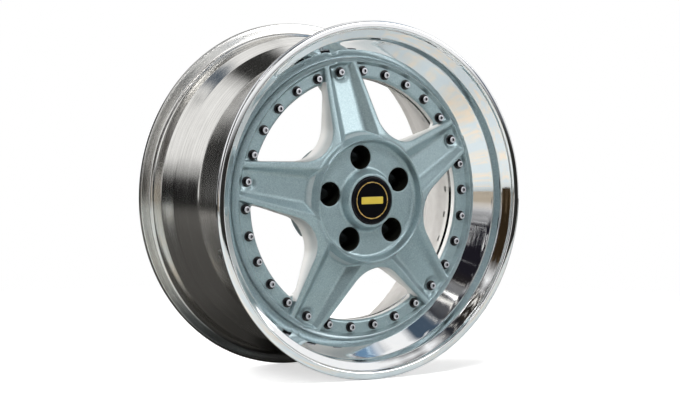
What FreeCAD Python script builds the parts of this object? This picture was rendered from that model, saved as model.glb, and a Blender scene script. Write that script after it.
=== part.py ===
import FreeCAD, Part
import math
import os
import re
import Sketcher

doc = FreeCAD.newDocument("AlloyWheel")
sheet = doc.addObject("Spreadsheet::Sheet", "Dims")

# Driving sizes in millimetres and degrees, each with its own name
SIZES = [
    ("rim_width", 203.2, "between the two tyre flanges"),
    ("bead_diameter", 436.6, "bead seat at the flange heel"),
    ("flange_height", 17.3, "tyre flange above the bead seat"),
    ("flange_edge", 7.0, "thickness of a tyre flange"),
    ("bead_seat_width", 20.0, "length of a bead seat"),
    ("rim_wall", 5.5, "wall of both rim halves"),
    ("heel_radius", 6.5, "fillet from bead seat to flange"),
    ("lip_nose", 10.4, "flat front of the outer flange"),
    ("dish_depth", 46.0, "outer edge of the lip to the bolt pads"),
    ("well_diameter", 386.0, "drop well on the tyre side"),
    ("well_length", 66.0, "straight part of the drop well"),
    ("barrel_diameter", 412.0, "inner half just before the back bead seat"),
    ("rim_flange", 6.5, "thickness of each rim half at the bolts"),
    ("joint_diameter", 322.0, "inside of the bolted rim flanges"),
    ("seal_groove", 3.0, "chamfer of each half at the sealed seam"),
    ("centre_diameter", 374.6, "outside of the spoked centre"),
    ("centre_flange", 10.0, "thickness of the centre under the bolts"),
    ("fit_gap", 0.3, "radial gap of the pieces that locate each other"),
    ("touch_gap", 0.05, "gap of the small pieces that are pushed in"),
    ("bolt_circle", 340.0, "circle of the assembly bolts"),
    ("bolt_count", 30, "assembly bolts"),
    ("bolt_thread", 7.0, "thread of an assembly bolt"),
    ("bolt_head", 9.4, "diameter of a bolt head"),
    ("head_height", 5.2, "height of a bolt head"),
    ("socket_flats", 4.0, "hexagon socket across flats"),
    ("socket_depth", 2.8, "depth of the hexagon socket"),
    ("washer_diameter", 13.6, "washer under a bolt head"),
    ("washer_thickness", 1.4, "thickness of that washer"),
    ("nut_flats", 11.0, "assembly nut across flats"),
    ("nut_height", 7.0, "assembly nut without its flange"),
    ("nut_flange", 1.6, "flange of the assembly nut"),
    ("bolt_end", 1.5, "bolt past its nut"),
    ("pad_diameter", 356.8, "outside of the flat bolt pads"),
    ("bead_crest_diameter", 364.6, "crest of the ring outside the pads"),
    ("bead_crest", 5.6, "that crest above the pads"),
    ("bead_shoulder", 3.0, "pads down to the outer corner of the centre"),
    ("window_diameter", 321.0, "outer ends of the windows"),
    ("spoke_count", 5, "spokes and wheel studs"),
    ("spoke_half", 28.2, "half width of a spoke at the window ends"),
    ("spoke_taper", 7.8, "angle of a spoke edge to its centre line"),
    ("window_round", 44.0, "radius of a window at the hub"),
    ("window_corner", 6.0, "radius of the outer window corners"),
    ("window_edge", 2.2, "round on the front edges of the windows"),
    ("spoke_phase", 27.2, "turn of the first window from straight up"),
    ("root_diameter", 172.0, "foot of the hub ring on the spokes"),
    ("root_height", 30.6, "spoke crest there above the pads"),
    ("spoke_back_root", 9.2, "pads down to the spoke back at the hub"),
    ("spoke_back_tip", 3.5, "pads down to the spoke back near the rim"),
    ("back_tip_diameter", 296.0, "where the spoke back turns down to the rim"),
    ("trough_root", 90.0, "hub end of the trough floor"),
    ("trough_rise", 17.0, "that end of the floor above the pads"),
    ("trough_half_root", 16.6, "half width of the floor at the hub"),
    ("trough_half_tip", 13.7, "half width of the floor at the rim"),
    ("mouth_rise_root", 37.0, "cutter top above the pads at the hub"),
    ("mouth_rise_tip", 10.0, "cutter top above the pads at the rim"),
    ("mouth_half_root", 36.5, "half width of the cutter top at the hub"),
    ("mouth_half_tip", 22.6, "half width of the cutter top at the rim"),
    ("mouth_root", 81.4, "hub end of the cutter top"),
    ("mouth_tip", 184.0, "rim end of the cutter top"),
    ("spot_face", 18.0, "flat cut for a bolt in a spoke floor"),
    ("hub_ring_diameter", 161.6, "crest of the hub ring"),
    ("hub_ring_height", 38.4, "that crest above the pads"),
    ("hub_floor_diameter", 152.0, "floor round the stud holes"),
    ("hub_floor_height", 24.6, "that floor above the pads"),
    ("boss_foot", 81.0, "foot of the boss round the cap"),
    ("boss_top", 70.6, "top of that boss"),
    ("boss_height", 38.0, "that top above the pads"),
    ("cap_diameter", 63.6, "outside of the centre cap"),
    ("cap_seat_depth", 5.7, "boss top down to the seat of the cap"),
    ("neck_diameter", 56.6, "bore that the cap clips into"),
    ("neck_length", 8.0, "length of that bore"),
    ("relief_diameter", 66.0, "bore behind the neck"),
    ("hub_bore", 73.1, "centre bore for the hub spigot"),
    ("hub_bore_length", 45.0, "length of the centre bore"),
    ("offset", 5.0, "hub face outboard of the rim's middle"),
    ("hub_pad", 146.0, "outside of the hub face"),
    ("hub_root", 151.0, "hub where the spoke backs begin"),
    ("stud_circle", 114.3, "pitch circle of the wheel studs"),
    ("stud_hole", 14.5, "hole for a wheel stud"),
    ("well_bore", 32.1, "well for a wheel nut"),
    ("seat_depth", 18.0, "hub face to the floor of a nut well"),
    ("sleeve_wall", 1.5, "wall of a nut well sleeve"),
    ("sleeve_seat", 11.2, "floor of a sleeve with its cone seat"),
    ("sleeve_hole", 17.0, "hole in the floor of a sleeve"),
    ("sleeve_drop", 1.2, "sleeve mouth below the hub floor"),
    ("cone_mouth", 24.0, "mouth of the cone seat"),
    ("cap_face", 1.0, "cap standing out of the boss"),
    ("cap_skirt", 14.0, "skirt of the cap behind its seat"),
    ("skirt_wall", 2.0, "wall of the cap skirt"),
    ("cap_hook", 0.9, "hook of the skirt behind the neck"),
    ("badge_diameter", 49.0, "recess in the cap face"),
    ("badge_recess", 0.9, "depth of that recess"),
    ("ring_width", 1.3, "width of the ring in the recess"),
    ("spring_wire", 1.6, "wire of the cap's spring ring"),
    ("valve_place", 26.0, "valve outboard of the rim's middle"),
    ("valve_turn", 222.0, "turn of the valve from the first window"),
    ("valve_hole", 10.4, "hole in the inner half for the valve"),
    ("valve_thread", 7.8, "thread of the valve stem"),
    ("valve_head", 16.0, "head of the valve inside the tyre"),
    ("valve_head_height", 2.4, "height of that head"),
    ("grommet_flange", 1.4, "rubber under the valve head"),
    ("valve_reach", 25.0, "stem past the barrel"),
    ("valve_bore", 3.6, "bore of the stem"),
    ("valve_nut_flats", 12.0, "valve nut across flats"),
    ("valve_nut_height", 5.0, "height of the valve nut"),
    ("valve_cap_diameter", 10.4, "outside of the valve cap"),
    ("valve_cap_grip", 9.0, "length of stem inside the cap"),
    ("valve_core_length", 17.0, "length of the valve core"),
]
for row, (alias, size, note) in enumerate(SIZES, 1):
    sheet.set(f"A{row}", note)
    sheet.set(f"B{row}", str(size))
    sheet.setAlias(f"B{row}", alias)
doc.recompute()
ALIASES = {alias for alias, size, note in SIZES}

# Worked-out sizes; radii from the axis, levels outboard of the rim's middle
FORMULAS = {
    "half": "rim_width / 2",
    "front": "half + flange_edge",
    "bead_r": "bead_diameter / 2",
    "tip_r": "bead_r + flange_height",
    "seat_end": "half - bead_seat_width",
    "seat_drop": "bead_seat_width * tan(5)",
    "pad": "front - dish_depth",
    "seat_level": "pad - centre_flange",
    "seam": "seat_level - rim_flange",
    "nut_level": "seam - rim_flange",
    "well_r": "well_diameter / 2",
    "well_in": "well_r - rim_wall",
    "barrel_r": "barrel_diameter / 2",
    "joint_r": "joint_diameter / 2",
    "centre_r": "centre_diameter / 2",
    "register_r": "centre_r + fit_gap",
    "pad_r": "pad_diameter / 2",
    "window_r": "window_diameter / 2",
    "slice": "180 / spoke_count",
    "side": "slice + spoke_taper",
    "apex": "(spoke_half + window_r * tan(spoke_taper)) / (sin(slice) + cos(slice) * tan(spoke_taper))",
    "trough_tilt": "atan(trough_rise / (pad_r - trough_root))",
    "trough_lift": "pad + trough_rise + trough_root * tan(trough_tilt)",
    "mouth_tilt": "atan((mouth_rise_root - mouth_rise_tip) / (mouth_tip - mouth_root))",
    "mouth_lift": "pad + mouth_rise_root + mouth_root * tan(mouth_tilt)",
    "hub_crest": "pad + hub_ring_height",
    "hub_floor": "pad + hub_floor_height",
    "boss_level": "pad + boss_height",
    "cap_seat": "boss_level - cap_seat_depth",
    "neck_end": "cap_seat - neck_length",
    "bore_r": "hub_bore / 2",
    "bore_end": "offset + hub_bore_length",
    "well_floor": "offset + seat_depth",
    "thread_r": "bolt_thread / 2",
    "hole_r": "thread_r + fit_gap",
    "head_level": "pad + washer_thickness",
    "bolt_tip": "nut_level - nut_flange - nut_height - bolt_end",
    "cap_r": "cap_diameter / 2",
    "skirt_r": "neck_diameter / 2 - fit_gap",
    "cap_front": "boss_level + cap_face",
    "badge_level": "cap_front - badge_recess",
    "badge_r": "badge_diameter / 2",
    "valve_r": "valve_thread / 2",
    "valve_inside": "sqrt(pow(well_in; 2) - pow(valve_nut_flats * 0.6; 2))",
    "valve_tip": "valve_inside - valve_reach",
}


AXIS = FreeCAD.Vector(0, 1, 0)
ACROSS = FreeCAD.Vector(1, 0, 0)


def formula(text):
    def spelled(match):
        word = match.group(0)
        if word in FORMULAS:
            return "(" + formula(FORMULAS[word]) + ")"
        return "Dims." + word if word in ALIASES else word
    return re.sub(r"[a-z_]+", spelled, text)


def number(text):
    return float(sheet.evalExpression(formula(text)))


def origin(body, role):
    return next(item for item in body.Origin.OriginFeatures if item.Role == role)


def new_body(name, turn=None):
    body = doc.addObject("PartDesign::Body", name)
    if turn:
        body.Placement = FreeCAD.Placement(FreeCAD.Vector(), FreeCAD.Rotation(AXIS, number(turn)))
        body.setExpression("Placement.Rotation.Angle", formula(turn))
    return body


def new_sketch(body, name, role, lift="0", tilt=None, about=ACROSS):
    sketch = body.newObject("Sketcher::SketchObject", name)
    sketch.AttachmentSupport = [(origin(body, role), "")]
    sketch.MapMode = "FlatFace"
    if tilt:
        sketch.AttachmentOffset = FreeCAD.Placement(FreeCAD.Vector(), FreeCAD.Rotation(about, number(tilt)))
        sketch.setExpression("AttachmentOffset.Rotation.Angle", formula(tilt))
    sketch.setExpression("AttachmentOffset.Base.z", formula(lift))
    return sketch


def bound(sketch, constraint, text):
    sketch.setExpression(f"Constraints[{sketch.addConstraint(constraint)}]", formula(text))


def pin(sketch, geometry, point, x, y):
    bound(sketch, Sketcher.Constraint("DistanceX", -1, 1, geometry, point, number(x)), x)
    bound(sketch, Sketcher.Constraint("DistanceY", -1, 1, geometry, point, number(y)), y)


def join(sketch, first, first_point, second, second_point, kind="Coincident"):
    sketch.addConstraint(Sketcher.Constraint(kind, first, first_point, second, second_point))


# Closed outline of straight sides; a corner with a radius is rounded there
def outline(sketch, corners):
    points = [FreeCAD.Vector(number(x), number(y), 0) for x, y, radius in corners]
    count = len(corners)
    leave, arrive, arcs = [], [], []
    for index, (x, y, radius) in enumerate(corners):
        here = points[index]
        back = (points[index - 1] - here).normalize()
        ahead = (points[(index + 1) % count] - here).normalize()
        if radius == "0":
            leave.append(here)
            arrive.append(here)
            arcs.append(None)
            continue
        opening = back.getAngle(ahead)
        reach = number(radius) / math.tan(opening / 2)
        arrive.append(here + back * reach)
        leave.append(here + ahead * reach)
        middle = here + (back + ahead).normalize() * (number(radius) / math.sin(opening / 2))
        left_turn = back.cross(ahead).z < 0
        first, last = (arrive[-1], leave[-1]) if left_turn else (leave[-1], arrive[-1])
        start = math.atan2(first.y - middle.y, first.x - middle.x)
        end = math.atan2(last.y - middle.y, last.x - middle.x)
        circle = Part.Circle(middle, FreeCAD.Vector(0, 0, 1), number(radius))
        arcs.append((Part.ArcOfCircle(circle, start, end), left_turn))
    sides = []
    for index in range(count):
        side = Part.LineSegment(leave[index], arrive[(index + 1) % count])
        sides.append(sketch.addGeometry(side, False))
    for index, (x, y, radius) in enumerate(corners):
        before, after = sides[index - 1], sides[index]
        if arcs[index] is None:
            join(sketch, before, 2, after, 1)
            pin(sketch, after, 1, x, y)
            continue
        arc, left_turn = arcs[index]
        round_id = sketch.addGeometry(arc, False)
        corner_id = sketch.addGeometry(Part.Point(points[index]), True)
        pin(sketch, corner_id, 1, x, y)
        sketch.addConstraint(Sketcher.Constraint("PointOnObject", corner_id, 1, before))
        sketch.addConstraint(Sketcher.Constraint("PointOnObject", corner_id, 1, after))
        near, far = (1, 2) if left_turn else (2, 1)
        join(sketch, before, 2, round_id, near, "Tangent")
        join(sketch, round_id, far, after, 1, "Tangent")
        bound(sketch, Sketcher.Constraint("Radius", round_id, number(radius)), radius)


# Four sides: two arcs about the axis, joined by straight flanks; sign -1 draws it downwards
def sector(sketch, inner, outer, inner_half, outer_half, sign=1):
    arcs = []
    for radius, half in ((inner, inner_half), (outer, outer_half)):
        reach = number(radius)
        swing = math.asin(number(half) / reach)
        middle = sign * math.pi / 2
        circle = Part.Circle(FreeCAD.Vector(), FreeCAD.Vector(0, 0, 1), reach)
        arc = sketch.addGeometry(Part.ArcOfCircle(circle, middle - swing, middle + swing), False)
        join(sketch, arc, 3, -1, 1)
        bound(sketch, Sketcher.Constraint("Radius", arc, reach), radius)
        for point, way in ((1, sign), (2, -sign)):
            text = half if way > 0 else f"-({half})"
            bound(sketch, Sketcher.Constraint("DistanceX", -1, 1, arc, point, number(text)), text)
        arcs.append(arc)
    for point in (1, 2):
        ends = [sketch.getPoint(arc, point) for arc in arcs]
        flank = sketch.addGeometry(Part.LineSegment(*ends), False)
        join(sketch, flank, 1, arcs[0], point)
        join(sketch, flank, 2, arcs[1], point)


def free_arc(sketch, x, y, radius, start, end):
    ring = Part.Circle(FreeCAD.Vector(x, y, 0), FreeCAD.Vector(0, 0, 1), number(radius))
    arc = sketch.addGeometry(Part.ArcOfCircle(ring, start, end), False)
    bound(sketch, Sketcher.Constraint("Radius", arc, number(radius)), radius)
    return arc


def circle(sketch, x, y, radius):
    middle = FreeCAD.Vector(number(x), number(y), 0)
    ring = sketch.addGeometry(Part.Circle(middle, FreeCAD.Vector(0, 0, 1), number(radius)), False)
    pin(sketch, ring, 3, x, y)
    bound(sketch, Sketcher.Constraint("Radius", ring, number(radius)), radius)


def hexagon(sketch, flats):
    corners = []
    for step in range(6):
        turn = math.radians(60 * step)
        reach = f"{flats} / {math.sqrt(3)}"
        corners.append((f"{math.cos(turn):.9f} * {reach}", f"{math.sin(turn):.9f} * {reach}", "0"))
    outline(sketch, corners)


# Adds a profile of (radius, level outboard, corner radius) turned about the wheel's axis
def turn_profile(body, name, corners):
    sketch = new_sketch(body, name + "_profile", "XY_Plane")
    outline(sketch, [(radius, f"-({level})", rounding) for radius, level, rounding in corners])
    solid = body.newObject("PartDesign::Revolution", name)
    solid.Profile = sketch
    solid.ReferenceAxis = (sketch, ["V_Axis"])
    solid.Angle = 360
    body.Tip = solid
    return solid


def turned(name, corners, turn=None):
    body = new_body(name, turn)
    turn_profile(body, name + "_turned", corners)
    return body


def cut_from_front(body, name, sketch, depth=None):
    pocket = body.newObject("PartDesign::Pocket", name)
    pocket.Profile = sketch
    if depth:
        pocket.Type = "Length"
        pocket.setExpression("Length", formula(depth))
    else:
        pocket.Type = "ThroughAll"
    body.Tip = pocket
    return pocket


def cut_loft(body, name, bottom, top):
    loft = body.newObject("PartDesign::SubtractiveLoft", name)
    loft.Profile = bottom
    loft.Sections = [top]
    loft.Ruled = True
    body.Tip = loft
    return loft


def round_the_axis(body, feature, count):
    pattern = body.newObject("PartDesign::PolarPattern", feature.Name + "_ring")
    pattern.Originals = [feature]
    pattern.Axis = (origin(body, "Y_Axis"), [""])
    pattern.Angle = 360
    pattern.setExpression("Occurrences", formula(count))
    body.Tip = pattern
    return pattern


# Rounds the edges of the newest shape that the test picks out
def round_edges(body, name, radius, wanted):
    doc.recompute()
    base = body.Tip
    picked = [f"Edge{index}" for index, edge in enumerate(base.Shape.Edges, 1) if wanted(edge)]
    fillet = body.newObject("PartDesign::Fillet", name)
    fillet.Base = (base, picked)
    fillet.setExpression("Radius", formula(radius))
    body.Tip = fillet
    return fillet


def from_axis(point):
    return math.hypot(point.x, point.z)


# Copies of one piece set evenly round the axis, as separate solids in one node
def ring_of(name, piece, radius, count):
    copies = []
    for step in range(round(number(count))):
        copy = piece.Shape.copy()
        copy.translate(FreeCAD.Vector(0, 0, -number(radius)))
        copy.rotate(FreeCAD.Vector(), AXIS, number("spoke_phase") + 360 * step / number(count))
        copies.append(copy)
    group = doc.addObject("Part::Feature", name)
    group.Shape = Part.makeCompound(copies)
    return group


def drill_bolt_holes(body, name):
    sketch = new_sketch(body, name + "_bolt_holes", "XZ_Plane", "hub_crest + 5")
    circle(sketch, "0", "-bolt_circle / 2", "hole_r")
    round_the_axis(body, cut_from_front(body, name + "_bolt_cut", sketch), "bolt_count")


# Outer half: the polished lip and the dish
def outer_half():
    body = turned("outer_rim_half", [
        ("tip_r", "half", "2.5"),
        ("tip_r", "front", "4"),
        ("tip_r - lip_nose", "front", "3"),
        ("tip_r - lip_nose - 1.5", "front - 4.5", "2.5"),
        ("bead_r - rim_wall", "half - 5", "4"),
        ("bead_r - rim_wall - 1.4", "seat_end", "5"),
        ("register_r", "seat_level + 5", "1"),
        ("register_r", "seat_level", "0"),
        ("joint_r", "seat_level", "0"),
        ("joint_r", "seam", "0"),
        ("well_r - seal_groove", "seam", "0"),
        ("well_r", "seam + seal_groove", "0"),
        ("well_r", "seat_level + 2.5", "6"),
        ("bead_r - seat_drop", "seat_end - 2", "5"),
        ("bead_r", "half", "heel_radius"),
    ], "spoke_phase")
    drill_bolt_holes(body, "outer")
    return body


# Inner half: the plain barrel with the back flange
def inner_half():
    body = turned("inner_rim_half", [
        ("tip_r", "-half", "2.5"),
        ("bead_r", "-half", "heel_radius"),
        ("bead_r - seat_drop", "-seat_end + 3", "2.5"),
        ("barrel_r", "-half + 38", "6"),
        ("well_r", "seam - well_length", "20"),
        ("well_r", "seam - seal_groove", "0"),
        ("well_r - seal_groove", "seam", "0"),
        ("joint_r", "seam", "0"),
        ("joint_r", "nut_level", "0"),
        ("well_in", "nut_level", "5"),
        ("well_in", "seam - well_length - 2", "20"),
        ("barrel_r - rim_wall", "-half + 40", "10"),
        ("bead_r - rim_wall - 1.4", "-seat_end + 3", "8"),
        ("bead_r - rim_wall - 0.4", "-half + 6", "6"),
        ("tip_r - 9", "-front", "3"),
        ("tip_r", "-front", "3.5"),
    ], "spoke_phase")
    drill_bolt_holes(body, "inner")
    valve = new_sketch(body, "valve_hole_outline", "XY_Plane", "0", "valve_turn", AXIS)
    circle(valve, "0", "-valve_place", "valve_hole / 2")
    hole = cut_from_front(body, "valve_hole_cut", valve, "well_r + 10")
    hole.Reversed = True
    return body


# Turned blank of the spoked centre, before any milling
def centre_blank(body):
    turn_profile(body, "centre_blank", [
        ("bore_r", "offset + 1.5", "0"),
        ("bore_r + 1.5", "offset", "0"),
        ("hub_pad / 2", "offset", "2"),
        ("hub_root / 2", "pad - spoke_back_root - 8", "12"),
        ("hub_root / 2 + 18", "pad - spoke_back_root", "14"),
        ("back_tip_diameter / 2", "pad - spoke_back_tip", "10"),
        ("window_r - 3", "seat_level", "0"),
        ("centre_r", "seat_level", "0"),
        ("centre_r", "pad - bead_shoulder", "1.5"),
        ("bead_crest_diameter / 2", "pad + bead_crest", "3"),
        ("root_diameter / 2", "pad + root_height", "6"),
        ("hub_ring_diameter / 2 + 1.6", "hub_crest - 1", "0"),
        ("hub_ring_diameter / 2", "hub_crest", "0"),
        ("hub_ring_diameter / 2 - 2", "hub_crest - 1.6", "0"),
        ("hub_floor_diameter / 2", "hub_floor", "5"),
        ("boss_foot / 2", "hub_floor", "4"),
        ("boss_top / 2", "boss_level", "1.2"),
        ("cap_r + fit_gap", "boss_level", "0"),
        ("cap_r + fit_gap", "cap_seat", "0"),
        ("neck_diameter / 2", "cap_seat", "0"),
        ("neck_diameter / 2", "neck_end", "0"),
        ("relief_diameter / 2", "neck_end", "0"),
        ("relief_diameter / 2", "bore_end", "0"),
        ("bore_r", "bore_end", "0"),
    ])


# Half width of the gap between two spokes where its flanks cross a circle
def gap_half(radius):
    reach = f"sqrt(pow({radius}; 2) - pow(apex * sin(side); 2)) - apex * cos(side)"
    return f"(({reach}) * sin(side))"


# Level bolt pads between the spokes, with the outer wall leaning outwards
def cut_pads(body):
    bottom = new_sketch(body, "pad_floor", "XZ_Plane", "pad")
    inner, rise = "window_r - 12", "(bead_crest + 8)"
    sector(bottom, inner, "pad_r", gap_half(inner), gap_half("pad_r"))
    top = new_sketch(body, "pad_mouth", "XZ_Plane", f"pad + {rise}")
    wide = f"(pad_r + {rise} * (bead_crest_diameter / 2 - pad_r) / bead_crest)"
    sector(top, inner, wide, gap_half(inner), gap_half(wide))
    round_the_axis(body, cut_loft(body, "pad_cut", bottom, top), "spoke_count")


# Openings between the spokes: a rounded V closed by an arc under the bolt pads
def cut_windows(body):
    sketch = new_sketch(body, "window_outline", "XZ_Plane", "hub_crest + 5")
    side = math.radians(number("side"))
    ring, corner, bend = number("window_r"), number("window_corner"), number("window_round")
    apex = number("apex")
    reach = math.sqrt((ring - corner) ** 2 - (apex * math.sin(side) + corner) ** 2) - apex * math.cos(side)
    corner_x = reach * math.sin(side) - corner * math.cos(side)
    corner_y = apex + reach * math.cos(side) + corner * math.sin(side)
    lean = math.atan2(corner_y, corner_x)
    middle = "apex + window_round / sin(side)"
    tip = sketch.addGeometry(Part.Point(FreeCAD.Vector(0, apex, 0)), True)
    pin(sketch, tip, 1, "0", "apex")
    rim = free_arc(sketch, 0, 0, "window_r", lean, math.pi - lean)
    pin(sketch, rim, 3, "0", "0")
    hub = free_arc(sketch, 0, number(middle), "window_round", math.pi + side, -side)
    pin(sketch, hub, 3, "0", middle)
    right = free_arc(sketch, corner_x, corner_y, "window_corner", -side, lean)
    left = free_arc(sketch, -corner_x, corner_y, "window_corner", math.pi - lean, math.pi + side)
    for first, first_point, second, second_point in ((left, 2, hub, 1), (hub, 2, right, 1)):
        ends = [sketch.getPoint(first, first_point), sketch.getPoint(second, second_point)]
        flank = sketch.addGeometry(Part.LineSegment(*ends), False)
        join(sketch, first, first_point, flank, 1, "Tangent")
        join(sketch, flank, 2, second, second_point, "Tangent")
        sketch.addConstraint(Sketcher.Constraint("PointOnObject", tip, 1, flank))
    join(sketch, right, 2, rim, 1, "Tangent")
    join(sketch, rim, 2, left, 1, "Tangent")
    round_the_axis(body, cut_from_front(body, "window_cut", sketch), "spoke_count")


# Rounds the front edges of the windows and of the bolt pads beside them
def round_windows(body):
    def side_wall(face, place):
        u, v = face.Surface.parameter(place)
        return abs(face.normalAt(u, v).y) < 0.01

    def front_edge(edge):
        place = edge.valueAt((edge.FirstParameter + edge.LastParameter) / 2)
        over_hub = from_axis(place) < number("hub_floor_diameter / 2")
        if over_hub or from_axis(place) > number("pad_r") or -place.y < number("pad - 1"):
            return False
        walls = [side_wall(face, place) for face in body.Tip.Shape.ancestorsOfType(edge, Part.Face)]
        return sorted(walls) == [False, True]

    round_edges(body, "window_front_round", "window_edge", front_edge)


# Trough down the middle of each spoke: sloping floor and leaning walls
def cut_troughs(body):
    floor = new_sketch(body, "trough_floor", "XZ_Plane", "trough_lift", "trough_tilt")
    slant = "cos(trough_tilt)"
    sector(floor, f"trough_root / {slant}", f"pad_r / {slant}", "trough_half_root", "trough_half_tip", -1)
    mouth = new_sketch(body, "trough_mouth", "XZ_Plane", "mouth_lift", "mouth_tilt")
    slant = "cos(mouth_tilt)"
    sector(mouth, f"mouth_root / {slant}", f"mouth_tip / {slant}", "mouth_half_root", "mouth_half_tip", -1)
    round_the_axis(body, cut_loft(body, "trough_cut", floor, mouth), "spoke_count")


def cut_holes(body):
    clear = "hub_crest + 5"
    spots = new_sketch(body, "spot_faces", "XZ_Plane", clear)
    circle(spots, "0", "-bolt_circle / 2", "spot_face / 2")
    spot = cut_from_front(body, "spot_cut", spots, f"{clear} - pad")
    round_the_axis(body, spot, "spoke_count")
    drill_bolt_holes(body, "centre")
    wells = new_sketch(body, "nut_wells", "XZ_Plane", clear)
    circle(wells, "0", "-stud_circle / 2", "well_bore / 2")
    well = cut_from_front(body, "nut_well_cut", wells, f"{clear} - well_floor")
    round_the_axis(body, well, "spoke_count")
    studs = new_sketch(body, "stud_holes", "XZ_Plane", clear)
    circle(studs, "0", "-stud_circle / 2", "stud_hole / 2")
    round_the_axis(body, cut_from_front(body, "stud_cut", studs), "spoke_count")


def spoked_centre():
    body = new_body("wheel_centre", "spoke_phase")
    centre_blank(body)
    cut_pads(body)
    cut_windows(body)
    round_windows(body)
    cut_troughs(body)
    cut_holes(body)
    return body


def bolt_ring():
    bolt = turned("bolt_pattern_piece", [
        ("0", "bolt_tip", "0"),
        ("thread_r - 0.8", "bolt_tip", "0"),
        ("thread_r", "bolt_tip + 0.8", "0"),
        ("thread_r", "head_level", "0"),
        ("bolt_head / 2", "head_level", "0"),
        ("bolt_head / 2", "head_level + head_height", "1.4"),
        ("0", "head_level + head_height", "0"),
    ])
    socket = new_sketch(bolt, "bolt_socket", "XZ_Plane", "head_level + head_height")
    hexagon(socket, "socket_flats")
    cut_from_front(bolt, "bolt_socket_cut", socket, "socket_depth")
    return bolt


def washer_piece():
    return turned("washer_piece", [
        ("hole_r", "pad", "0"),
        ("washer_diameter / 2", "pad", "0"),
        ("washer_diameter / 2", "head_level", "0.4"),
        ("hole_r", "head_level", "0"),
    ])


def nut_piece():
    nut = turned("nut_piece", [
        ("thread_r + touch_gap", "nut_level - nut_flange", "0"),
        ("thread_r + touch_gap", "nut_level", "0"),
        ("nut_flats * 0.64", "nut_level", "0"),
        ("nut_flats * 0.64", "nut_level - nut_flange", "0"),
    ])
    flats = new_sketch(nut, "nut_flats_outline", "XZ_Plane", "nut_level - nut_flange - nut_height")
    hexagon(flats, "nut_flats")
    circle(flats, "0", "0", "thread_r + touch_gap")
    pad = nut.newObject("PartDesign::Pad", "nut_hexagon")
    pad.Profile = flats
    pad.setExpression("Length", formula("nut_height"))
    nut.Tip = pad
    return nut


def sleeve_piece():
    outside = "well_bore / 2 - touch_gap"
    mouth = "hub_floor - sleeve_drop"
    return turned("sleeve_piece", [
        ("sleeve_hole / 2", "well_floor", "0"),
        (outside, "well_floor", "0"),
        (outside, mouth, "0"),
        (f"{outside} - sleeve_wall", mouth, "0"),
        (f"{outside} - sleeve_wall", "well_floor + sleeve_seat", "0"),
        ("cone_mouth / 2", "well_floor + sleeve_seat", "0"),
        ("sleeve_hole / 2", "well_floor + sleeve_seat - (cone_mouth - sleeve_hole) / 2 / tan(30)", "0"),
    ])


# Sealant in the V between the two halves, on the tyre side
def seam_seal():
    slack = "seal_groove - 1.5 * touch_gap"
    return turned("rim_seal", [
        ("well_r - seal_groove + 1.5 * touch_gap", "seam", "0"),
        ("well_r", f"seam - ({slack})", "0"),
        ("well_r + 1.2", "seam - 1.6", "0.8"),
        ("well_r + 1.2", "seam + 1.6", "0.8"),
        ("well_r", f"seam + {slack}", "0"),
    ])


def centre_cap():
    hook = "neck_end - touch_gap"
    return turned("centre_cap", [
        ("0", "cap_seat + 1.6", "0"),
        ("skirt_r - skirt_wall", "cap_seat + 1.6", "0"),
        ("skirt_r - skirt_wall", "cap_seat - cap_skirt", "0"),
        ("skirt_r - 0.8", "cap_seat - cap_skirt", "0"),
        ("skirt_r + cap_hook", f"{hook} - 1.4", "0"),
        ("skirt_r + cap_hook", f"{hook} - 0.6", "0"),
        ("skirt_r", hook, "0"),
        ("skirt_r", "cap_seat", "0"),
        ("cap_r", "cap_seat", "0"),
        ("cap_r", "cap_front - 1.4", "1"),
        ("cap_r - 2", "cap_front", "1"),
        ("badge_r", "cap_front", "0"),
        ("badge_r", "badge_level", "0"),
        ("0", "badge_level", "0"),
    ])


def cap_ring():
    inside = "badge_r - touch_gap - ring_width"
    return turned("cap_gold_ring", [
        (inside, "badge_level", "0"),
        ("badge_r - touch_gap", "badge_level", "0"),
        ("badge_r - touch_gap", "cap_front + 0.2", "0.3"),
        (inside, "cap_front + 0.2", "0.3"),
    ])


def cap_badge():
    outside = "badge_r - 2 * touch_gap - ring_width"
    return turned("cap_badge_disc", [
        ("0", "badge_level", "0"),
        (outside, "badge_level", "0"),
        (outside, "cap_front - 0.1", "0.2"),
        ("0", "cap_front - 0.1", "0"),
    ])


def cap_spring():
    ring = doc.addObject("Part::Torus", "cap_spring_ring")
    ring.setExpression("Radius1", formula("skirt_r - skirt_wall - touch_gap - spring_wire / 2"))
    ring.setExpression("Radius2", formula("spring_wire / 2"))
    ring.Placement = FreeCAD.Placement(FreeCAD.Vector(), FreeCAD.Rotation(ACROSS, 90))
    ring.setExpression("Placement.Base.y", formula("-(neck_end - 2.5)"))
    return ring


# Stands a piece turned about the wheel's axis along a radius at the valve
def at_valve(body):
    stand = FreeCAD.Rotation(AXIS, number("spoke_phase + valve_turn"))
    stand = stand.multiply(FreeCAD.Rotation(ACROSS, -90))
    body.Placement = FreeCAD.Placement(FreeCAD.Vector(0, -number("valve_place"), 0), stand)
    return body


def valve_stem():
    head = "well_r + grommet_flange + 2 * touch_gap"
    return at_valve(turned("valve_stem", [
        ("valve_bore / 2", "valve_tip", "0"),
        ("valve_r - 0.6", "valve_tip", "0"),
        ("valve_r", "valve_tip + 0.6", "0"),
        ("valve_r", head, "0"),
        ("valve_head / 2", head, "0"),
        ("valve_head / 2", f"{head} + valve_head_height", "1"),
        ("valve_bore / 2", f"{head} + valve_head_height", "0"),
    ]))


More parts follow.
